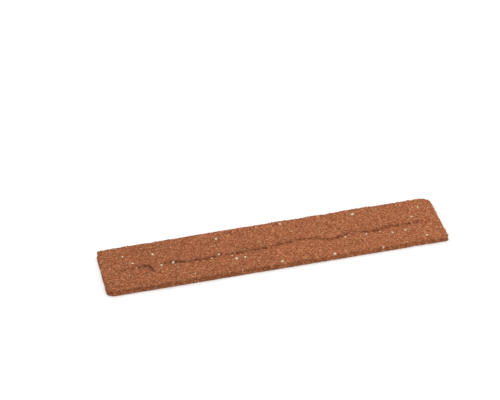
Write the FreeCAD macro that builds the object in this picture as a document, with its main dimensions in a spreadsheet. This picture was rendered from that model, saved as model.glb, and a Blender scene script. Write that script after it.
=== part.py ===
import FreeCAD, Part
import math
import os
import Sketcher

# A brick slip: a thin fired-clay facing piece in the long, narrow format.
# It lies on its flat back, face up. The origin is at the middle of the back,
# +X runs along the length, +Y across it towards the far edge, +Z out of the face.

SIZES = {
    "slip_length": 210.0,
    "slip_width": 50.0,
    "slip_thickness": 4.0,
    # plan radius of each corner, named by edge (near is -Y) and end (left is -X)
    "near_left_corner": 6.0,
    "near_right_corner": 2.5,
    "far_left_corner": 4.0,
    "far_right_corner": 7.5,
    # round-over of the face's rim
    "arris_radius": 0.8,
    # the fold crease across the face: a long furrow, fading into a shallow tail
    "crease_width": 1.5,
    "crease_depth": 0.7,
    "crease_left_margin": 39.5,
    "crease_right_margin": 44.0,
    "tail_width": 1.1,
    "tail_depth": 0.4,
    "tail_right_margin": 6.5,
    # the short lead furrow left of the crease, ending in a hook
    "lead_left_margin": 14.5,
    "lead_run": 16.5,
    # one round pit beside the crease
    "pit_width": 2.0,
    "pit_depth": 0.5,
    "pit_left_margin": 48.5,
    "pit_across": 5.4,
}

# Furrow routes, as (share of the run from its left end, place across in mm)
LEAD_ROUTE = [(0.0, -2.3), (0.28, -3.1), (0.7, -1.2), (0.9, -2.6), (1.0, -8.2)]
CREASE_ROUTE = [
    (0.0, -2.0),
    (0.05, -2.1),
    (0.1, -4.4),
    (0.19, -4.5),
    (0.26, -3.5),
    (0.34, -4.0),
    (0.42, -2.9),
    (0.5, -3.5),
    (0.59, -1.5),
    (0.65, -0.3),
    (0.73, -1.9),
    (0.79, -6.0),
    (0.82, -6.2),
    (0.89, -2.5),
    (0.935, -2.1),
    (1.0, -5.2),
]
TAIL_ROUTE = [(0.0, -5.2), (0.2, -3.7), (0.35, -1.7), (0.55, -2.9), (0.75, -2.2), (1.0, -3.0)]

ORIGIN_POINT = (-1, 1)
LINE_START = 1
LINE_END = 2
HEIGHT_TOLERANCE = 1e-4

LEFT_END = "-Sizes.slip_length / 2"
CREASE_RUN = "(Sizes.slip_length - Sizes.crease_left_margin - Sizes.crease_right_margin)"
TAIL_RUN = "(Sizes.crease_right_margin - Sizes.tail_right_margin)"


def make_sheet(doc):
    sheet = doc.addObject("Spreadsheet::Sheet", "Sizes")
    for row, (name, value) in enumerate(SIZES.items(), start=1):
        sheet.set(f"A{row}", name)
        sheet.set(f"B{row}", str(value))
        sheet.setAlias(f"B{row}", name)
    doc.recompute()
    return sheet


def arc_radius(width, depth):
    """Expression for the radius of a round-bottomed cut of this width and depth."""
    half = f"(Sizes.{width} / 2)"
    deep = f"Sizes.{depth}"
    return f"({half} * {half} + {deep} * {deep}) / (2 * {deep})"


def origin_plane(body, role):
    return next(feature for feature in body.Origin.OriginFeatures if feature.Role == role)


def new_sketch(body, name, role="XY_Plane"):
    sketch = body.newObject("Sketcher::SketchObject", name)
    sketch.AttachmentSupport = [(origin_plane(body, role), "")]
    sketch.MapMode = "FlatFace"
    return sketch


def bind(sketch, name, constraint, expression):
    """Add a dimension to the sketch and tie it to the sheet."""
    index = sketch.addConstraint(constraint)
    sketch.renameConstraint(index, name)
    sketch.setExpression(f"Constraints.{name}", expression)


def draw_outline(body, sheet):
    """The plan: four straight sides joined by four tangent corner arcs."""
    sketch = new_sketch(body, "Outline")
    half_length = sheet.slip_length / 2
    half_width = sheet.slip_width / 2
    # each corner: arc name, signs of its place, start angle
    corners = [
        ("near_right_corner", 1, -1, -math.pi / 2),
        ("far_right_corner", 1, 1, 0.0),
        ("far_left_corner", -1, 1, math.pi / 2),
        ("near_left_corner", -1, -1, math.pi),
    ]
    arcs = []
    for name, side_x, side_y, start in corners:
        radius = getattr(sheet, name)
        centre = FreeCAD.Vector(side_x * (half_length - radius), side_y * (half_width - radius), 0)
        circle = Part.Circle(centre, FreeCAD.Vector(0, 0, 1), radius)
        arcs.append(Part.ArcOfCircle(circle, start, start + math.pi / 2))
    arc_ids = [sketch.addGeometry(arc, False) for arc in arcs]
    line_ids = []
    for index, arc in enumerate(arcs):
        following = arcs[(index + 1) % len(arcs)]
        line_ids.append(sketch.addGeometry(Part.LineSegment(arc.EndPoint, following.StartPoint), False))
    for index, line in enumerate(line_ids):
        following = arc_ids[(index + 1) % len(arc_ids)]
        sketch.addConstraint(Sketcher.Constraint("Tangent", arc_ids[index], LINE_END, line, LINE_START))
        sketch.addConstraint(Sketcher.Constraint("Tangent", line, LINE_END, following, LINE_START))
    right, far, left, near = line_ids
    for line in (right, left):
        sketch.addConstraint(Sketcher.Constraint("Vertical", line))
    for line in (far, near):
        sketch.addConstraint(Sketcher.Constraint("Horizontal", line))
    for arc, (name, *_) in zip(arc_ids, corners):
        bind(sketch, name, Sketcher.Constraint("Radius", arc, getattr(sheet, name)), f"Sizes.{name}")
    for name, kind, line, sign, size in [
        ("right_side", "DistanceX", right, 1, "slip_length"),
        ("left_side", "DistanceX", left, -1, "slip_length"),
        ("far_side", "DistanceY", far, 1, "slip_width"),
        ("near_side", "DistanceY", near, -1, "slip_width"),
    ]:
        reach = sign * getattr(sheet, size) / 2
        distance = Sketcher.Constraint(kind, *ORIGIN_POINT, line, LINE_START, reach)
        bind(sketch, name, distance, f"{sign} * Sizes.{size} / 2")
    return sketch


def pad_slab(body, outline):
    pad = body.newObject("PartDesign::Pad", "Slab")
    pad.Profile = outline
    pad.setExpression("Length", "Sizes.slip_thickness")
    return pad


def rim_edges(shape, height):
    """Names of the edges that lie wholly at this height."""
    names = []
    for index, edge in enumerate(shape.Edges, start=1):
        box = edge.BoundBox
        if abs(box.ZMin - height) < HEIGHT_TOLERANCE and abs(box.ZMax - height) < HEIGHT_TOLERANCE:
            names.append(f"Edge{index}")
    return names


def round_arris(body, slab, sheet):
    fillet = body.newObject("PartDesign::Fillet", "Arris")
    fillet.Base = (slab, rim_edges(slab.Shape, sheet.slip_thickness))
    fillet.setExpression("Radius", "Sizes.arris_radius")
    return fillet


def draw_route(body, name, route, start, run, height):
    """An open path of straight runs at one height, each point tied to the sheet."""
    sketch = new_sketch(body, f"{name}Route")
    sketch.setExpression("AttachmentOffset.Base.z", height)
    points = [FreeCAD.Vector(index, across, 0) for index, (_, across) in enumerate(route)]
    for first, second in zip(points, points[1:]):
        sketch.addGeometry(Part.LineSegment(first, second), False)
    for line in range(1, len(points) - 1):
        joint = Sketcher.Constraint("Coincident", line - 1, LINE_END, line, LINE_START)
        sketch.addConstraint(joint)
    for index, (share, across) in enumerate(route):
        line, end = (0, LINE_START) if index == 0 else (index - 1, LINE_END)
        along_x = Sketcher.Constraint("DistanceX", *ORIGIN_POINT, line, end, points[index].x)
        bind(sketch, f"along_{index}", along_x, f"{start} + {share} * {run}")
        sketch.addConstraint(Sketcher.Constraint("DistanceY", *ORIGIN_POINT, line, end, across))
    return sketch


def draw_section(body, name, route, radius):
    """The furrow's round section, square to the start of its route."""
    sketch = body.newObject("Sketcher::SketchObject", f"{name}Section")
    sketch.AttachmentSupport = [(route, "Edge1"), (route, "Vertex1")]
    sketch.MapMode = "NormalToEdge"
    circle = Part.Circle(FreeCAD.Vector(0, 0, 0), FreeCAD.Vector(0, 0, 1), 1.0)
    sketch.addGeometry(circle, False)
    sketch.addConstraint(Sketcher.Constraint("Coincident", 0, 3, *ORIGIN_POINT))
    bind(sketch, "section_radius", Sketcher.Constraint("Radius", 0, 1.0), radius)
    return sketch


def cut_furrow(doc, body, name, route, start, run, width, depth):
    """Sweep a round section along the route, sunk by its depth into the face."""
    radius = arc_radius(width, depth)
    path = draw_route(body, name, route, start, run, f"Sizes.slip_thickness - Sizes.{depth} + {radius}")
    doc.recompute()
    section = draw_section(body, name, path, radius)
    doc.recompute()
    furrow = body.newObject("PartDesign::SubtractivePipe", name)
    furrow.Profile = section
    furrow.Spine = (path, [f"Edge{index}" for index in range(1, len(route))])
    furrow.Transition = "Right corner"
    doc.recompute()
    return furrow


def cut_pit(body):
    pit = body.newObject("PartDesign::SubtractiveSphere", "Pit")
    radius = arc_radius("pit_width", "pit_depth")
    pit.AttachmentSupport = [(origin_plane(body, "XY_Plane"), "")]
    pit.MapMode = "FlatFace"
    pit.setExpression("Radius", radius)
    pit.setExpression("AttachmentOffset.Base.x", f"{LEFT_END} + Sizes.pit_left_margin")
    pit.setExpression("AttachmentOffset.Base.y", "Sizes.pit_across")
    pit.setExpression("AttachmentOffset.Base.z", f"Sizes.slip_thickness - Sizes.pit_depth + {radius}")
    return pit


def make_brick_slip(doc, sheet):
    body = doc.addObject("PartDesign::Body", "BrickSlip")
    body.Label = "brick_slip"
    outline = draw_outline(body, sheet)
    slab = pad_slab(body, outline)
    doc.recompute()
    features = [slab, round_arris(body, slab, sheet)]
    doc.recompute()
    lead_start = f"{LEFT_END} + Sizes.lead_left_margin"
    crease_start = f"{LEFT_END} + Sizes.crease_left_margin"
    tail_start = f"{crease_start} + {CREASE_RUN}"
    crease_size = ("crease_width", "crease_depth")
    tail_size = ("tail_width", "tail_depth")
    features.append(cut_furrow(doc, body, "Lead", LEAD_ROUTE, lead_start, "Sizes.lead_run", *crease_size))
    features.append(cut_furrow(doc, body, "Crease", CREASE_ROUTE, crease_start, CREASE_RUN, *crease_size))
    features.append(cut_furrow(doc, body, "Tail", TAIL_ROUTE, tail_start, TAIL_RUN, *tail_size))
    features.append(cut_pit(body))
    body.Tip = features[-1]
    body.Placement = FreeCAD.Placement()
    doc.recompute()
    check_each_cut(features)
    return body


def check_each_cut(features):
    """Every feature after the slab takes material away."""
    volumes = [feature.Shape.Volume for feature in features]
    for feature, before, after in zip(features[1:], volumes, volumes[1:]):
        if after >= before:
            raise RuntimeError(f"{feature.Name} cuts nothing")


def check_document(doc):
    for item in doc.Objects:
        if "Invalid" in item.State or "Error" in item.State:
            raise RuntimeError(f"{item.Name} failed: {item.State}")


def export(parts):
    os.makedirs("parts", exist_ok=True)
    for part in parts:
        shape = part.Shape
        if shape.isNull() or not shape.isValid():
            raise RuntimeError(f"{part.Label} has no valid shape")
        if len(shape.Solids) != 1:
            raise RuntimeError(f"{part.Label} is not one solid")
    for part in parts:
        part.Shape.exportStep(f"parts/{part.Label}.step")


def main():
    doc = FreeCAD.newDocument("BrickSlip")
    sheet = make_sheet(doc)
    parts = [make_brick_slip(doc, sheet)]
    check_document(doc)
    export(parts)


main()
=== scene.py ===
import math

import bpy
import numpy as np
from mathutils import Euler, Matrix, Vector, noise


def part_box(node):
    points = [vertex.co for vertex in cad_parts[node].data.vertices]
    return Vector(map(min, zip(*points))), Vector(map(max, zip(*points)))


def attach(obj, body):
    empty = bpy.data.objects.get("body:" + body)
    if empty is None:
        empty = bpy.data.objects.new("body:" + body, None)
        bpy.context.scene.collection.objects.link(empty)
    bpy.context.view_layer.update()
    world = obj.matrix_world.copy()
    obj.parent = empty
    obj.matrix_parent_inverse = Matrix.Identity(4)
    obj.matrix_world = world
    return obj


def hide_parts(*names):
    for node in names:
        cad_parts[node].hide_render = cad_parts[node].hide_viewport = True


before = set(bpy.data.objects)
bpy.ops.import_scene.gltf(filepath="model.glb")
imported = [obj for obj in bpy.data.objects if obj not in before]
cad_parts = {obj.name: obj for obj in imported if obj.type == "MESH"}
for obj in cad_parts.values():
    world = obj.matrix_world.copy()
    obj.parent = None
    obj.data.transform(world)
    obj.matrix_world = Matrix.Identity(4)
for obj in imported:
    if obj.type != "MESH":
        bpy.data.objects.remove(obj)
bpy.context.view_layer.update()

# A sanded brick slip lying on its flat back. Lengths are in millimetres in the CAD frame, down to
# the stage, and meshes are scaled to metres as they are made.

MM = 0.001
LOW, HIGH = (np.array(corner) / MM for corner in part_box("brick_slip"))
HALF_LENGTH = (HIGH[0] - LOW[0]) / 2
HALF_WIDTH = (HIGH[1] - LOW[1]) / 2
TOP = HIGH[2]
# keeps a division by a length of nought from failing
TINY = 1e-9

# corner places (right is +1, far is +1) and plan radii
CORNERS = [(-1, -1, 6.0), (1, -1, 2.5), (-1, 1, 4.0), (1, 1, 7.5)]
# radius of the rounded upper edge, and grid steps around it
ARRIS = 0.75
ARRIS_STEPS = 4
# grid spacing of the face, rings of faces down the side, and face cells along one cell of the back
SPACING = 0.42
SIDE_LEVELS = 6
BACK_STEP = 4
# room for bumps and grains between the mean face and the CAD's face
SAND_LAYER = 0.62

# fold crease: (x, y, strength) along each stretch
LEAD_ROUTE = [
    (-91.0, -2.2, 0.3),
    (-86.0, -3.1, 0.8),
    (-79.0, -1.2, 1.0),
    (-75.7, -2.6, 1.3),
    (-74.0, -8.4, 0.9),
]
CREASE_ROUTE = [
    (-66.0, -2.0, 0.8),
    (-59.0, -2.1, 1.3),
    (-53.0, -4.4, 0.9),
    (-41.5, -4.5, 1.3),
    (-32.5, -3.5, 0.9),
    (-22.5, -4.0, 0.7),
    (-12.5, -2.9, 0.9),
    (-2.0, -3.5, 0.6),
    (9.0, -1.5, 1.1),
    (17.0, -0.3, 0.35),
    (27.0, -1.9, 0.9),
    (34.5, -6.0, 0.6),
    (38.0, -6.2, 0.5),
    (47.0, -2.5, 1.2),
    (53.0, -2.1, 0.5),
    (61.0, -5.2, 0.9),
    (68.5, -3.7, 0.9),
    (74.0, -1.7, 1.2),
    (81.5, -2.9, 0.8),
    (89.0, -2.2, 0.7),
    (98.5, -3.0, 0.2),
]
# the furrow on the crease's near side, and the raised lip that hangs over it from the far side
FURROW_DEPTH = 0.62
FURROW_WIDTH = 1.7
LIP_HEIGHT = 0.28
LIP_WIDTH = 3.0
LIP_OVERHANG = 0.4
HANG_WIDTH = 1.0
# the crease fades out over this far past its route's ends, and over this far from the rim
END_FADE = 1.5
CREASE_MARGIN = 3.0
# strength along the crease: a route's own value is scaled and broken up, and a faint one dies out
CREASE_GAIN = 1.2
CREASE_LOSS = 0.2
CREASE_MOST = 1.1
CREASE_ONSET = 5
# painted shade: in the furrow, on the lip's steep wall, and in a band along both sides of the crease
FURROW_SHADE = 0.8
WALL_SHADE = 0.5
WALL_WIDTH = 0.7
CREASE_BAND_SHADE = 0.55
CREASE_BAND_WIDTH = 1.6
SHADE_CURVE = 0.7
# painted shade: the face is darkened in hollows deeper than this, and the side where it is set back
HOLLOW_START = 0.2
HOLLOW_SHADE = 0.4
SIDE_SHADE = 0.3

# layers of noise: (height, bump size, seed)
BROAD_RELIEF = [(0.13, 31.0, 1), (0.10, 12.0, 2), (0.10, 4.6, 3)]
FINE_RELIEF = [(0.12, 2.1, 4), (0.11, 1.1, 5)]
CREASE_WANDER = [(1.0, 3.3, 21), (1.2, 1.3, 22)]
CREASE_BREAKS = [(0.45, 4.0, 23), (1.3, 1.6, 24)]
EDGE_TEARS = [(0.45, 15.0, 34), (0.38, 4.0, 35)]
EDGE_CRUMBS = [(0.16, 1.5, 33)]
BACK_HOLLOWS = [(0.12, 7.0, 41)]

# the fine relief is coarser near the crease and on the side
ROUGH_BAND = 3.0
BAND_ROUGHNESS = 1.8
SIDE_ROUGHNESS = 1.3
# usual inset of the rim, how much more the far edge is torn, and how far in the wear reaches
EDGE_INSET = 0.32
FAR_TEAR = 1.5
EDGE_REACH = 4.0
FAR_FACING = 0.5
# the side flares out at its foot, and is pinched in above that
FOOT_FLARE = 0.4
FOOT_HEIGHT = 0.8
FOOT_PINCH = 0.6

# round lumps and pits: (x, y, radius, height)
SPOTS = [
    (-72.3, -1.9, 1.9, 0.4),
    (-56.5, 5.4, 1.3, -1.1),
    (-16.5, 0.1, 1.8, -1.0),
    (25.0, 1.3, 1.3, -0.5),
]
# the largest quartz grains: (x, y, radius)
QUARTZ = [
    (-90.0, 12.5, 0.60),
    (-85.5, 3.2, 0.90),
    (-72.0, 9.7, 0.70),
    (-68.5, -4.7, 0.65),
    (-61.5, -3.5, 0.75),
    (-50.5, -20.0, 0.75),
    (-38.0, -5.9, 0.70),
    (-33.0, -2.9, 0.70),
    (-31.5, 15.5, 0.80),
    (-25.5, -6.6, 0.55),
    (-23.5, -10.9, 0.90),
    (-18.5, -10.9, 0.65),
    (2.0, -22.6, 0.75),
    (9.5, 20.9, 0.65),
    (34.0, -23.6, 0.90),
    (44.5, -6.8, 0.55),
    (54.5, 17.9, 0.85),
    (57.5, -7.6, 0.55),
    (64.0, -24.6, 0.80),
    (66.0, -7.5, 0.65),
    (73.0, -10.3, 0.65),
    (81.0, -10.6, 0.60),
    (88.5, 4.2, 0.55),
    (92.0, -20.1, 0.80),
    (95.5, 14.1, 0.65),
]

# turns the noise's own grid off the slip's axes, so that no ripple runs along or across the slip
NOISE_TURN = np.array(Euler((0.5, 0.3, 0.7)).to_matrix())
# each seed reads the noise this much further on
NOISE_STEP = np.array((17.31, 5.93, 11.17))


def ripple(points, size, seed):
    """Smooth noise at each point, about -1 to 1, with bumps of this size."""
    places = points @ NOISE_TURN / size + seed * NOISE_STEP
    return np.array([noise.noise(place) for place in places])


def layered(points, layers):
    """Sum of several layers of noise at each point."""
    return sum(height * ripple(points, size, seed) for height, size, seed in layers)


def grid_lines(half):
    """Grid lines across the slip, closer together where its arris rounds over."""
    turn = np.linspace(0, math.pi / 2, ARRIS_STEPS + 1)
    rim = half - ARRIS * (1 - np.cos(turn))
    inner = half - ARRIS
    count = BACK_STEP * round(2 * inner / SPACING / BACK_STEP)
    return np.concatenate([-rim[:-1], np.linspace(-inner, inner, count + 1), rim[-2::-1]])


def plan_grid():
    """Plan places, outward directions and distances from the rim, on a grid with rounded corners."""
    x, y = np.meshgrid(grid_lines(HALF_LENGTH), grid_lines(HALF_WIDTH), indexing="ij")
    to_end = HALF_LENGTH - abs(x)
    to_edge = HALF_WIDTH - abs(y)
    rim = np.minimum(to_end, to_edge)
    out_x = np.where(to_end < to_edge, np.sign(x), 0.0)
    out_y = np.where(to_end < to_edge, 0.0, np.sign(y))
    for side_x, side_y, radius in CORNERS:
        centre_x = side_x * (HALF_LENGTH - radius)
        centre_y = side_y * (HALF_WIDTH - radius)
        off_x = x - centre_x
        off_y = y - centre_y
        corner = (off_x * side_x > 0) & (off_y * side_y > 0)
        span = np.hypot(off_x, off_y) + TINY
        squeeze = np.maximum(abs(off_x), abs(off_y)) / span
        x = np.where(corner, centre_x + off_x * squeeze, x)
        y = np.where(corner, centre_y + off_y * squeeze, y)
        out_x = np.where(corner, off_x / span, out_x)
        out_y = np.where(corner, off_y / span, out_y)
    return x, y, out_x, out_y, rim


def near_route(x, y, route):
    """Way to the nearest point of a route, distance across it (far side +) and strength there."""
    best = np.full(x.shape, np.inf)
    to_x = np.zeros(x.shape)
    to_y = np.zeros(x.shape)
    across = np.zeros(x.shape)
    strength = np.zeros(x.shape)
    for (start_x, start_y, start_w), (end_x, end_y, end_w) in zip(route, route[1:]):
        run_x = end_x - start_x
        run_y = end_y - start_y
        share = ((x - start_x) * run_x + (y - start_y) * run_y) / (run_x ** 2 + run_y ** 2)
        past = np.maximum(0, np.maximum(-share, share - 1)) * math.hypot(run_x, run_y)
        share = np.clip(share, 0, 1)
        off_x = x - start_x - share * run_x
        off_y = y - start_y - share * run_y
        gap = np.hypot(off_x, off_y)
        side = np.sign(run_x * off_y - run_y * off_x)
        closer = gap < best
        best = np.where(closer, gap, best)
        to_x = np.where(closer, -off_x / (gap + TINY), to_x)
        to_y = np.where(closer, -off_y / (gap + TINY), to_y)
        across = np.where(closer, gap * side, across)
        fade = np.clip(1 - past / END_FADE, 0, 1)
        strength = np.where(closer, (start_w + share * (end_w - start_w)) * fade, strength)
    return to_x, to_y, across, strength


def fold(points):
    """Shift that the crease gives each point, how much shade is painted there, and how near the crease it
    lies.
    """
    x, y = points[:, 0], points[:, 1]
    wander = layered(points, CREASE_WANDER)
    breaks = layered(points, CREASE_BREAKS) - CREASE_LOSS
    shift = np.zeros(points.shape)
    dark = np.zeros(len(points))
    band = np.zeros(len(points))
    for route in (LEAD_ROUTE, CREASE_ROUTE):
        to_x, to_y, across, strength = near_route(x, y, route)
        across = across + wander
        band = np.maximum(band, strength * np.exp(-(across / ROUGH_BAND) ** 2))
        onset = np.clip(CREASE_ONSET * strength, 0, 1)
        strength = np.clip(CREASE_GAIN * strength + breaks, 0, CREASE_MOST) * onset
        far = across > 0
        deep = np.where(far, 0.0, np.exp(-(across / FURROW_WIDTH) ** 2)) * strength
        lip = np.where(far, np.exp(-np.maximum(across, 0) / LIP_WIDTH), 0.0) * strength
        hang = np.where(far, np.clip(1 - across / HANG_WIDTH, 0, 1), 0.0) * strength
        shift[:, 0] += to_x * hang * LIP_OVERHANG
        shift[:, 1] += to_y * hang * LIP_OVERHANG
        shift[:, 2] += lip * LIP_HEIGHT - deep * FURROW_DEPTH
        # painted shade: the furrow, the lip's steep wall and a band on both sides of the crease are
        # darkened in colour
        wall = np.where(far, np.clip(1 - across / WALL_WIDTH, 0, 1), 0.0) * strength
        shade_and_stain = np.exp(-(across / CREASE_BAND_WIDTH) ** 2) * strength
        dark = np.maximum.reduce([dark, FURROW_SHADE * deep, WALL_SHADE * wall, CREASE_BAND_SHADE * shade_and_stain])
    return shift, dark, band


def relief(points, roughness):
    """Height of the sanded, hand-pressed surface over its smooth form."""
    return layered(points, BROAD_RELIEF) + layered(points, FINE_RELIEF) * roughness


def spots(points):
    """Height of the round lumps and pits beside the crease."""
    height = np.zeros(len(points))
    for x, y, radius, rise in SPOTS:
        gap = np.hypot(points[:, 0] - x, points[:, 1] - y)
        height += rise * np.exp(-(gap / radius) ** 2)
    return height


def edge_wear(points, outward, rim):
    """Inward shift near the rim, where the edges are torn and uneven, most of all the far one."""
    torn = np.where(outward[:, 1] > FAR_FACING, FAR_TEAR, 1.0)
    inset = EDGE_INSET + torn * layered(points, EDGE_TEARS) + layered(points, EDGE_CRUMBS)
    reach = np.clip(1 - rim / EDGE_REACH, 0, 1) ** 2
    shift = np.zeros(points.shape)
    shift[:, :2] = -outward * (np.maximum(inset, 0) * reach)[:, None]
    return shift


def perimeter(columns, rows):
    """Grid places around the rim, anticlockwise from the near left corner."""
    near = [(i, 0) for i in range(columns - 1)]
    right = [(columns - 1, j) for j in range(rows - 1)]
    far = [(i, rows - 1) for i in range(columns - 1, 0, -1)]
    left = [(0, j) for j in range(rows - 1, 0, -1)]
    return near + right + far + left


class SlipShape:
    """The slip's vertices and faces, gathered patch by patch."""

    def __init__(self):
        x, y, out_x, out_y, rim = plan_grid()
        self.columns, self.rows = x.shape
        self.plan = np.stack([x.ravel(), y.ravel()], axis=1)
        self.outward = np.stack([out_x.ravel(), out_y.ravel()], axis=1)
        self.rim = rim.ravel()
        self.loop = [i * self.rows + j for i, j in perimeter(self.columns, self.rows)]
        self.patches = []
        self.faces = []

    def size(self):
        """Number of vertices so far."""
        return sum(len(patch) for patch, _ in self.patches)

    def add_face_side(self):
        """The sanded face with its crease, down to the lower end of the arris."""
        face = TOP - SAND_LAYER
        turn = np.clip(1 - self.rim / ARRIS, 0, 1)
        lift = np.sqrt(1 - turn ** 2)
        points = np.column_stack([self.plan, face - ARRIS * (1 - lift)])
        normal = np.column_stack([self.outward * turn[:, None], lift])
        crease, dark, band = fold(points)
        inner = np.clip(self.rim / CREASE_MARGIN, 0, 1)
        height = relief(points, 1 + BAND_ROUGHNESS * band) + spots(points) * inner
        placed = points + normal * height[:, None] + crease * inner[:, None]
        placed += edge_wear(points, self.outward, self.rim)
        # painted shade: the crease's darkness, and more in hollows deeper than HOLLOW_START
        hollow = np.maximum(-height - HOLLOW_START, 0)
        shade = np.clip(dark ** SHADE_CURVE + hollow * HOLLOW_SHADE, 0, 1)
        self.patches.append((placed, shade))
        for i in range(self.columns - 1):
            for j in range(self.rows - 1):
                corner = i * self.rows + j
                self.faces.append((corner, corner + self.rows, corner + self.rows + 1, corner + 1))

    def add_sides(self):
        """Rings of faces from the arris down to the foot, all around."""
        upper = self.loop
        levels = np.linspace(TOP - SAND_LAYER - ARRIS, 0, SIDE_LEVELS + 1)[1:]
        outward = self.outward[self.loop]
        around = len(self.loop)
        for level in levels:
            points = np.column_stack([self.plan[self.loop], np.full(around, level)])
            normal = np.column_stack([outward, np.zeros(around)])
            flare = FOOT_FLARE * ((1 + FOOT_PINCH) * math.exp(-(level / FOOT_HEIGHT) ** 2) - FOOT_PINCH)
            height = relief(points, SIDE_ROUGHNESS) + flare
            placed = points + normal * height[:, None]
            placed += edge_wear(points, outward, np.zeros(around))
            placed[:, 2] = level
            start = self.size()
            # painted shade on the side where its relief sets it back
            self.patches.append((placed, np.clip(-SIDE_SHADE * height, 0, 1)))
            lower = list(range(start, start + around))
            for k in range(around):
                after = (k + 1) % around
                self.faces.append((upper[k], lower[k], lower[after], upper[after]))
            upper = lower
        self.foot = dict(zip(self.loop, upper))

    def add_back(self):
        """The flat back, on a coarser grid that meets every vertex of the foot."""
        start = self.size()
        inside = [
            (i, j)
            for i in range(BACK_STEP, self.columns - 1, BACK_STEP)
            for j in range(BACK_STEP, self.rows - 1, BACK_STEP)
        ]
        flat = [i * self.rows + j for i, j in inside]
        points = np.column_stack([self.plan[flat], np.zeros(len(flat))])
        points[:, 2] = np.maximum(layered(points, BACK_HOLLOWS), 0)
        self.patches.append((points, np.zeros(len(flat))))
        index = {key: start + k for k, key in enumerate(flat)}
        index.update(self.foot)
        for i in range(0, self.columns - 1, BACK_STEP):
            for j in range(0, self.rows - 1, BACK_STEP):
                near = [(i + k, j) for k in range(BACK_STEP)]
                right = [(i + BACK_STEP, j + k) for k in range(BACK_STEP)]
                far = [(i + BACK_STEP - k, j + BACK_STEP) for k in range(BACK_STEP)]
                left = [(i, j + BACK_STEP - k) for k in range(BACK_STEP)]
                keys = [a * self.rows + b for a, b in near + right + far + left]
                self.add_cell([index[key] for key in reversed(keys) if key in index], start)

    def add_cell(self, cell, first_inner):
        """One cell of the back, as a fan from an inner vertex where it meets the fine foot."""
        if len(cell) == 4:
            self.faces.append(cell)
            return
        apex = next(k for k, vertex in enumerate(cell) if vertex >= first_inner)
        cell = cell[apex:] + cell[:apex]
        for k in range(1, len(cell) - 1):
            self.faces.append((cell[0], cell[k], cell[k + 1]))

    def build(self):
        """Vertices, how much shade is painted on each one, and faces."""
        self.add_face_side()
        self.add_sides()
        self.add_back()
        points = np.concatenate([patch for patch, _ in self.patches])
        shade = np.concatenate([patch_shade for _, patch_shade in self.patches])
        return np.clip(points, LOW, HIGH), shade, self.faces


def new_mesh(name, points, faces, attributes, smooth):
    """A mesh object in metres, with named vertex attributes."""
    mesh = bpy.data.meshes.new(name)
    mesh.from_pydata((points * MM).tolist(), [], faces)
    for attribute, values in attributes.items():
        layer = mesh.attributes.new(attribute, "FLOAT", "POINT")
        layer.data.foreach_set("value", values.astype(np.float32))
    mesh.polygons.foreach_set("use_smooth", np.full(len(mesh.polygons), smooth))
    mesh.update()
    piece = bpy.data.objects.new(name, mesh)
    bpy.context.scene.collection.objects.link(piece)
    return piece


# bake layout: where each side's band starts, its height, and the margins along and across it
UV_BANDS = {
    "face": (0.0, 0.44),
    "back": (0.45, 0.34),
    "near": (0.80, 0.04),
    "far": (0.85, 0.04),
    "left": (0.90, 0.04),
    "right": (0.95, 0.04),
}
UV_END = 0.005
UV_EDGE = 0.02
# a face whose normal points down or up by this much belongs to the back or to the sanded face
BACK_TILT = -0.7
FACE_TILT = 0.35


def facing(normal):
    """Name of the side of the slip that a face with this normal belongs to."""
    if normal.z < BACK_TILT:
        return "back"
    if normal.z > FACE_TILT:
        return "face"
    if abs(normal.y) > abs(normal.x):
        return "far" if normal.y > 0 else "near"
    return "right" if normal.x > 0 else "left"


def unwrap_slip(piece):
    """Bake layout: the face, the back and the four sides as strips, each in its own band."""
    mesh = piece.data
    layer = mesh.uv_layers.new(name="OFBake")
    points = np.array([vertex.co for vertex in mesh.vertices]) / MM
    along = (points[:, 0] - LOW[0]) / (2 * HALF_LENGTH)
    width = (points[:, 1] - LOW[1]) / (2 * HALF_WIDTH)
    up = points[:, 2] / TOP
    for polygon in mesh.polygons:
        side = facing(polygon.normal)
        base, tall = UV_BANDS[side]
        run = width if side in ("left", "right") else along
        across = width if side in ("face", "back") else up
        for loop in polygon.loop_indices:
            vertex = mesh.loops[loop].vertex_index
            u = UV_END + (1 - 2 * UV_END) * run[vertex]
            v = UV_EDGE + (1 - 2 * UV_EDGE) * across[vertex]
            layer.data[loop].uv = (u, base + tall * v)


# corners of one grain, how unevenly they are pulled in or out, and how much a grain is stretched
GRAIN_CORNERS = 12
CORNER_SPREAD = (0.78, 1.12)
GRAIN_STRETCH = (0.75, 1.15)
# how far a grain reaches from the middle of its square in the bake layout
CELL_REACH = 0.3


def unit_grain():
    """Corners and faces of an icosahedron of radius 1."""
    golden = (1 + math.sqrt(5)) / 2
    corners = []
    for a in (-1, 1):
        for b in (-golden, golden):
            corners += [(0, a, b), (a, b, 0), (b, 0, a)]
    corners = np.array(corners) / math.hypot(1, golden)
    just_over_edge = 2 / math.hypot(1, golden) * 1.01
    near = np.linalg.norm(corners[:, None] - corners[None], axis=2) < just_over_edge
    faces = []
    for a in range(GRAIN_CORNERS):
        for b in range(a + 1, GRAIN_CORNERS):
            for c in range(b + 1, GRAIN_CORNERS):
                if near[a, b] and near[b, c] and near[a, c]:
                    outward = np.dot(np.cross(corners[b] - corners[a], corners[c] - corners[a]), corners[a])
                    faces.append((a, b, c) if outward > 0 else (a, c, b))
    return corners, np.array(faces)


def random_turns(rng, count):
    """Random rotation matrices, from unit quaternions."""
    q = rng.normal(size=(count, 4))
    w, x, y, z = (q / np.linalg.norm(q, axis=1)[:, None]).T
    return np.stack([
        np.stack([1 - 2 * (y * y + z * z), 2 * (x * y - z * w), 2 * (x * z + y * w)], axis=1),
        np.stack([2 * (x * y + z * w), 1 - 2 * (x * x + z * z), 2 * (y * z - x * w)], axis=1),
        np.stack([2 * (x * z - y * w), 2 * (y * z + x * w), 1 - 2 * (x * x + y * y)], axis=1),
    ], axis=1)


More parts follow.
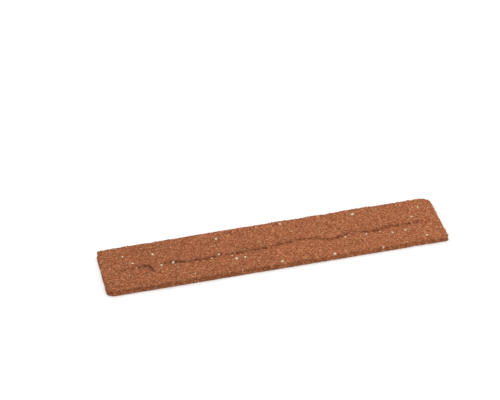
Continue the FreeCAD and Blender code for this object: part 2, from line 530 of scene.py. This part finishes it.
def make_grains(name, seats, normals, radii, tones, rng, sink):
    """One joined mesh of faceted grains, part-sunk in the surface and pushed back inside the CAD's box."""
    corners, facets = unit_grain()
    count = len(seats)
    shapes = corners[None] * rng.uniform(*CORNER_SPREAD, (count, GRAIN_CORNERS, 1))
    shapes = shapes * rng.uniform(*GRAIN_STRETCH, (count, 1, 3))
    shapes = np.einsum("nij,nkj->nki", random_turns(rng, count), shapes) * radii[:, None, None]
    centres = seats + normals * (radii * rng.uniform(*sink, count))[:, None]
    points = centres[:, None] + shapes
    spill = np.maximum(points.max(axis=1) - HIGH, 0) + np.minimum(points.min(axis=1) - LOW, 0)
    points = points - spill[:, None]
    faces = (facets[None] + GRAIN_CORNERS * np.arange(count)[:, None, None]).reshape(-1, 3)
    tone = np.repeat(tones, GRAIN_CORNERS)
    piece = new_mesh(name, points.reshape(-1, 3), faces.tolist(), {"tone": tone}, False)
    unwrap_grains(piece, shapes, faces, count)
    return piece


def unwrap_grains(piece, shapes, faces, count):
    """Bake layout: one small square for each grain."""
    across = math.ceil(math.sqrt(count))
    cell = 1 / across
    reach = abs(shapes).max(axis=(1, 2))[:, None, None]
    local = 0.5 + CELL_REACH * shapes[:, :, :2] / reach
    place = np.stack([np.arange(count) % across, np.arange(count) // across], axis=1)
    uv = ((place[:, None] + local) * cell).reshape(-1, 2)
    layer = piece.data.uv_layers.new(name="OFBake")
    layer.data.foreach_set("uv", uv[faces.ravel()].ravel().astype(np.float32))


# ---- materials ----

# painted light: the colour grows paler towards the right end, standing in for the brighter light on the
# real slip's lifted right end
RIGHT_END_PAINTED_LIGHT = (0.88, 1.07)
# pale specks in the clay: spacing in mm, share left out, radius as a share of the spacing, and strength
SPECK_SPACING = 1.3
SPECK_RARITY = 0.62
SPECK_RADIUS = 0.3
SPECK_STRENGTH = 0.55
# how far the painted shade in the hollows, the crease and the set-back sides goes towards its dark colour
PAINTED_SHADE_STRENGTH = 0.75


def linear(red, green, blue):
    """A colour given as 0-255 display values, as the renderer's linear values."""
    values = [channel / 255 for channel in (red, green, blue)]
    return tuple(v / 12.92 if v <= 0.04045 else ((v + 0.055) / 1.055) ** 2.4 for v in values) + (1.0,)


class Nodes:
    """A material's node tree, with short calls for the nodes used here."""

    def __init__(self, name):
        self.material = bpy.data.materials.new(name)
        self.material.use_nodes = True
        self.tree = self.material.node_tree
        self.tree.nodes.clear()
        self.output = self.tree.nodes.new("ShaderNodeOutputMaterial")
        self.places = self.tree.nodes.new("ShaderNodeTexCoord").outputs["Object"]

    def link(self, source, target):
        self.tree.links.new(source, target)

    def set(self, socket, value):
        if isinstance(value, bpy.types.NodeSocket):
            self.link(value, socket)
        else:
            socket.default_value = value

    def noise(self, size, detail=2.0, roughness=0.5):
        """Noise with features of about this many millimetres."""
        node = self.tree.nodes.new("ShaderNodeTexNoise")
        node.inputs["Scale"].default_value = 1 / (size * MM)
        node.inputs["Detail"].default_value = detail
        node.inputs["Roughness"].default_value = roughness
        self.link(self.places, node.inputs["Vector"])
        return node.outputs["Fac"]

    def cells(self, size):
        """Distance from the nearest random point, and a random colour for each."""
        node = self.tree.nodes.new("ShaderNodeTexVoronoi")
        node.inputs["Scale"].default_value = 1 / (size * MM)
        self.link(self.places, node.inputs["Vector"])
        return node.outputs["Distance"], node.outputs["Color"]

    def along(self, low, high):
        """Grey level that goes from low at the left end to high at the right end."""
        split = self.tree.nodes.new("ShaderNodeSeparateXYZ")
        self.link(self.places, split.inputs[0])
        node = self.tree.nodes.new("ShaderNodeMapRange")
        node.inputs["From Min"].default_value = LOW[0] * MM
        node.inputs["From Max"].default_value = HIGH[0] * MM
        node.inputs["To Min"].default_value = low
        node.inputs["To Max"].default_value = high
        self.link(split.outputs["X"], node.inputs["Value"])
        return node.outputs["Result"]

    def attribute(self, name):
        node = self.tree.nodes.new("ShaderNodeAttribute")
        node.attribute_name = name
        return node.outputs["Fac"]

    def math(self, operation, first, second, clamp=False):
        node = self.tree.nodes.new("ShaderNodeMath")
        node.operation = operation
        node.use_clamp = clamp
        self.set(node.inputs[0], first)
        self.set(node.inputs[1], second)
        return node.outputs[0]

    def ramp(self, value, stops):
        """Colour ramp from (place, colour) stops."""
        node = self.tree.nodes.new("ShaderNodeValToRGB")
        elements = node.color_ramp.elements
        while len(elements) < len(stops):
            elements.new(0.5)
        for element, (place, colour) in zip(elements, stops):
            element.position = place
            element.color = colour
        self.link(value, node.inputs["Fac"])
        return node.outputs["Color"]

    def mix(self, blend, factor, first, second):
        node = self.tree.nodes.new("ShaderNodeMix")
        node.data_type = "RGBA"
        node.blend_type = blend
        self.set(node.inputs["Factor"], factor)
        self.set(node.inputs[6], first)
        self.set(node.inputs[7], second)
        return node.outputs[2]

    def bump(self, height, strength, distance):
        node = self.tree.nodes.new("ShaderNodeBump")
        node.inputs["Strength"].default_value = strength
        node.inputs["Distance"].default_value = distance * MM
        self.link(height, node.inputs["Height"])
        return node.outputs["Normal"]

    def surface(self, colour, roughness, normal, specular):
        shader = self.tree.nodes.new("ShaderNodeBsdfPrincipled")
        shader.inputs["Specular IOR Level"].default_value = specular
        self.set(shader.inputs["Base Color"], colour)
        self.set(shader.inputs["Roughness"], roughness)
        self.link(normal, shader.inputs["Normal"])
        self.link(shader.outputs["BSDF"], self.output.inputs["Surface"])
        return self.material


def grey(value):
    return (value, value, value, 1.0)


def clay_material():
    """Fired clay: a mottled terracotta ground, speckled, with painted shade in its hollows and crease, and
    painted light towards its right end.
    """
    nodes = Nodes("fired_clay")
    ground = nodes.ramp(nodes.noise(1.6, 3.0, 0.65), [
        (0.30, linear(134, 77, 48)),
        (0.45, linear(160, 95, 61)),
        (0.56, linear(182, 112, 74)),
        (0.72, linear(222, 154, 110)),
    ])
    mottle = nodes.ramp(nodes.noise(14.0, 2.0, 0.5), [(0.3, grey(0.88)), (0.7, grey(1.06))])
    colour = nodes.mix("MULTIPLY", 1.0, ground, mottle)
    # painted light: paler towards the right end
    colour = nodes.mix("MULTIPLY", 1.0, colour, nodes.along(*RIGHT_END_PAINTED_LIGHT))
    distance, random = nodes.cells(SPECK_SPACING)
    rare = nodes.math("GREATER_THAN", random, SPECK_RARITY)
    dot = nodes.math("LESS_THAN", distance, SPECK_RADIUS)
    speck = nodes.math("MULTIPLY", rare, dot)
    pale = nodes.math("MULTIPLY", speck, SPECK_STRENGTH)
    colour = nodes.mix("MIX", pale, colour, linear(224, 160, 122))
    # painted shade: the shade attribute darkens the hollows, the crease and the set-back sides towards a
    # dark brown
    hollow = nodes.math("MULTIPLY", nodes.attribute("shade"), PAINTED_SHADE_STRENGTH, clamp=True)
    colour = nodes.mix("MIX", hollow, colour, linear(104, 54, 32))
    roughness = nodes.ramp(nodes.noise(2.0), [(0.3, grey(0.86)), (0.7, grey(0.98))])
    normal = nodes.bump(nodes.noise(0.5, 3.0, 0.6), 0.6, 0.25)
    return nodes.surface(colour, roughness, normal, 0.12)


def sand_material():
    """Sand coat: each grain has its own tone, from dark fired to pale, with painted light towards the right
    end.
    """
    nodes = Nodes("sand_coat")
    colour = nodes.ramp(nodes.attribute("tone"), [
        (0.0, linear(128, 72, 43)),
        (0.40, linear(168, 101, 64)),
        (0.80, linear(197, 126, 87)),
        (1.0, linear(234, 180, 144)),
    ])
    shade_and_stain = nodes.ramp(nodes.noise(0.5, 1.0, 0.5), [(0.3, grey(0.88)), (0.7, grey(1.08))])
    colour = nodes.mix("MULTIPLY", 1.0, colour, shade_and_stain)
    # painted light: paler towards the right end
    colour = nodes.mix("MULTIPLY", 1.0, colour, nodes.along(*RIGHT_END_PAINTED_LIGHT))
    roughness = nodes.ramp(nodes.noise(1.5), [(0.3, grey(0.70)), (0.7, grey(0.92))])
    normal = nodes.bump(nodes.noise(0.25), 0.3, 0.1)
    return nodes.surface(colour, roughness, normal, 0.15)


def quartz_material():
    """Quartz: pale beige to greenish grey grains with a slight shine."""
    nodes = Nodes("quartz")
    colour = nodes.ramp(nodes.attribute("tone"), [
        (0.0, linear(196, 176, 128)),
        (0.5, linear(234, 218, 172)),
        (1.0, linear(255, 248, 222)),
    ])
    shade_and_stain = nodes.ramp(nodes.noise(0.6, 1.0, 0.5), [(0.3, grey(0.85)), (0.7, grey(1.05))])
    colour = nodes.mix("MULTIPLY", 1.0, colour, shade_and_stain)
    roughness = nodes.ramp(nodes.noise(0.8), [(0.3, grey(0.35)), (0.7, grey(0.55))])
    normal = nodes.bump(nodes.noise(0.4), 0.3, 0.1)
    return nodes.surface(colour, roughness, normal, 0.5)


# ---- pieces ----

def finish_piece(piece, material):
    """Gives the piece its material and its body."""
    piece.data.materials.append(material)
    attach(piece, "root")
    return piece


def make_slip():
    """The slip itself, and its vertices with their normals, painted shade and distance from the rim."""
    shape = SlipShape()
    points, shade, faces = shape.build()
    piece = new_mesh("slip_body", points, faces, {"shade": shade}, True)
    unwrap_slip(piece)
    finish_piece(piece, clay_material())
    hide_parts("brick_slip")
    normals = np.array([normal.vector for normal in piece.data.vertex_normals])
    rim = np.concatenate([shape.rim, np.zeros(len(shape.loop) * (SIDE_LEVELS - 1))])
    return points, normals, shade, rim


SEED = 7

# grains are thinner in the crease, where the shade is over this, and on the arris and the sides
CREASE_DARK = 0.4
CREASE_SHARE = 0.25
ARRIS_SHARE = 0.4
SEAT_JITTER = 0.2

# sand: tones lean to the dark end, on a gamma curve, and the brightest grains are larger
SAND_COUNT = 8600
SAND_RADII = (0.24, 0.46)
SAND_SINK = (-0.4, 0.2)
SAND_DARKEST = 0.2
SAND_TONE_CURVE = 2.0
SAND_TONE_SPREAD = 0.15
BRIGHT_TONE = 0.9
BRIGHT_SWELL = 1.2

# quartz: the placed grains stand out more than the random ones, which gather about the crease
QUARTZ_SWELL = 1.5
QUARTZ_SINK = (-0.1, 0.2)
PLACED_TONES = (0.35, 0.9)
RANDOM_TONES = (0.0, 0.7)
# random quartz: (smallest radius, largest radius, count)
RANDOM_QUARTZ = [(0.38, 0.58, 30), (0.22, 0.38, 100)]
CREASE_LINE = -4.0
CREASE_SPREAD = 9.0
AWAY_FROM_CREASE = 0.35


def seat_grains(rng, count, points, normals, weights):
    """Random seats on the surface, with a little jitter off the grid."""
    picks = rng.choice(len(points), count, p=weights / weights.sum())
    return points[picks] + rng.uniform(-SEAT_JITTER, SEAT_JITTER, (count, 3)), normals[picks]


def add_sand(rng, points, normals, weights):
    """The sand coat, all of it random."""
    seats, out = seat_grains(rng, SAND_COUNT, points, normals, weights)
    tones = np.clip(SAND_DARKEST + rng.gamma(SAND_TONE_CURVE, SAND_TONE_SPREAD, SAND_COUNT), 0, 1)
    swell = np.where(tones > BRIGHT_TONE, BRIGHT_SWELL, 1.0)
    radii = rng.uniform(*SAND_RADII, SAND_COUNT) * swell
    piece = make_grains("sand_grains", seats, out, radii, tones, rng, SAND_SINK)
    finish_piece(piece, sand_material())


def add_quartz(rng, points, normals, weights):
    """The placed grains, each on the face's nearest vertex, and the random ones."""
    count = sum(number for _, _, number in RANDOM_QUARTZ)
    near_crease = np.exp(-((points[:, 1] - CREASE_LINE) / CREASE_SPREAD) ** 2)
    seats, out = seat_grains(rng, count, points, normals, weights * (AWAY_FROM_CREASE + near_crease))
    off_face = np.where(points[:, 2] > TOP / 2, 0, 2 * HALF_LENGTH)
    nearest = [
        np.argmin(np.hypot(points[:, 0] - x, points[:, 1] - y) + off_face)
        for x, y, _ in QUARTZ
    ]
    seats = np.concatenate([points[nearest], seats])
    out = np.concatenate([normals[nearest], out])
    placed = [radius * QUARTZ_SWELL for _, _, radius in QUARTZ]
    radii = np.concatenate([placed] + [rng.uniform(*sizes) for sizes in RANDOM_QUARTZ])
    tones = np.concatenate([rng.uniform(*PLACED_TONES, len(QUARTZ)), rng.uniform(*RANDOM_TONES, count)])
    piece = make_grains("quartz_grains", seats, out, radii, tones, rng, QUARTZ_SINK)
    finish_piece(piece, quartz_material())


def add_grains(points, normals, shade, rim):
    """Sand and quartz on the face and the sides, thinner in the crease and past the face's rim."""
    rng = np.random.default_rng(SEED)
    seatable = len(rim)
    points, normals, shade = points[:seatable], normals[:seatable], shade[:seatable]
    weights = np.where(shade > CREASE_DARK, CREASE_SHARE, 1.0) * np.where(rim < ARRIS, ARRIS_SHARE, 1.0)
    add_sand(rng, points, normals, weights)
    add_quartz(rng, points, normals, weights)


# ---- stage, light and camera ----

# from here on lengths are in metres
FLOOR_REACH = 4.0
FLOOR_GAP = 0.05 * MM
# the floor's colour and the light that it adds, which together read as white
FLOOR_TONE = 0.62
FLOOR_GLOW = 0.40


def direction(azimuth, elevation):
    """Unit vector that way (azimuth 0 is +Y, 90 is +X), from degrees."""
    around, height = math.radians(azimuth), math.radians(elevation)
    flat = math.cos(height)
    return Vector((math.sin(around) * flat, math.cos(around) * flat, math.sin(height)))


def seen_directly(tree):
    """1 for rays that carry the background to the eye: straight, mirrored or through glass."""
    path = tree.nodes.new("ShaderNodeLightPath")
    total = path.outputs["Is Camera Ray"]
    for name in ("Is Glossy Ray", "Is Transmission Ray"):
        node = tree.nodes.new("ShaderNodeMath")
        node.operation = "MAXIMUM"
        tree.links.new(total, node.inputs[0])
        tree.links.new(path.outputs[name], node.inputs[1])
        total = node.outputs[0]
    return total


def make_floor():
    """A white floor that shows the object's shadow from above, and lets the light from below through."""
    around = ((-1, -1), (1, -1), (1, 1), (-1, 1))
    corners = [(x * FLOOR_REACH, y * FLOOR_REACH, -FLOOR_GAP) for x, y in around]
    mesh = bpy.data.meshes.new("floor")
    mesh.from_pydata(corners, [], [(0, 1, 2, 3)])
    floor = bpy.data.objects.new("floor", mesh)
    bpy.context.scene.collection.objects.link(floor)
    material = bpy.data.materials.new("floor_white")
    material.use_nodes = True
    tree = material.node_tree
    tree.nodes.clear()
    diffuse = tree.nodes.new("ShaderNodeBsdfDiffuse")
    diffuse.inputs["Color"].default_value = grey(FLOOR_TONE)
    glow = tree.nodes.new("ShaderNodeEmission")
    glow.inputs["Strength"].default_value = FLOOR_GLOW
    white = tree.nodes.new("ShaderNodeAddShader")
    clear = tree.nodes.new("ShaderNodeBsdfTransparent")
    above = tree.nodes.new("ShaderNodeMath")
    above.operation = "SUBTRACT"
    above.use_clamp = True
    mix = tree.nodes.new("ShaderNodeMixShader")
    geometry = tree.nodes.new("ShaderNodeNewGeometry")
    output = tree.nodes.new("ShaderNodeOutputMaterial")
    for source, target in (
        (seen_directly(tree), above.inputs[0]),
        (geometry.outputs["Backfacing"], above.inputs[1]),
        (diffuse.outputs[0], white.inputs[0]),
        (glow.outputs[0], white.inputs[1]),
        (above.outputs[0], mix.inputs[0]),
        (clear.outputs[0], mix.inputs[1]),
        (white.outputs[0], mix.inputs[2]),
        (mix.outputs[0], output.inputs["Surface"]),
    ):
        tree.links.new(source, target)
    mesh.materials.append(material)


def make_world(level):
    """Even white surroundings: this level as light, plain white where the camera sees them."""
    world = bpy.data.worlds.new("studio")
    world.use_nodes = True
    tree = world.node_tree
    background = tree.nodes["Background"]
    background.inputs["Color"].default_value = grey(1.0)
    strength = tree.nodes.new("ShaderNodeMapRange")
    strength.inputs["To Min"].default_value = level
    strength.inputs["To Max"].default_value = 1.0
    tree.links.new(seen_directly(tree), strength.inputs["Value"])
    tree.links.new(strength.outputs["Result"], background.inputs["Strength"])
    bpy.context.scene.world = world


def make_key(azimuth, elevation, strength, softness):
    """A broad, soft, distant lamp in this direction, in degrees."""
    light = bpy.data.lights.new("key", "SUN")
    light.energy = strength
    light.angle = math.radians(softness)
    lamp = bpy.data.objects.new("key", light)
    lamp.rotation_euler = direction(azimuth, elevation).to_track_quat("Z", "Y").to_euler()
    bpy.context.scene.collection.objects.link(lamp)


def make_camera(azimuth, elevation, roll, distance, target, lens):
    """Camera that looks at the target from the near side, turned clockwise by azimuth, in degrees."""
    tilt = math.radians(roll)
    forward = direction(azimuth, -elevation)
    right = direction(azimuth + 90, 0)
    up = right.cross(forward)
    right, up = right * math.cos(tilt) + up * math.sin(tilt), up * math.cos(tilt) - right * math.sin(tilt)
    camera_data = bpy.data.cameras.new("camera")
    camera_data.lens = lens
    camera_data.clip_end = 20
    camera = bpy.data.objects.new("camera", camera_data)
    turn = Matrix((right, up, -forward)).transposed()
    camera.matrix_world = Matrix.LocRotScale(Vector(target) - forward * distance, turn, None)
    bpy.context.scene.collection.objects.link(camera)
    bpy.context.scene.camera = camera


make_camera(azimuth=8.8, elevation=30.0, roll=-4.8, distance=1.512, target=(-0.0014, 0.0615, 0), lens=172.8)
make_floor()
make_world(level=0.72)
make_key(azimuth=30, elevation=60, strength=1.15, softness=26)
add_grains(*make_slip())

scene = bpy.context.scene
scene.view_settings.view_transform = "Standard"
bpy.context.view_layer.update()
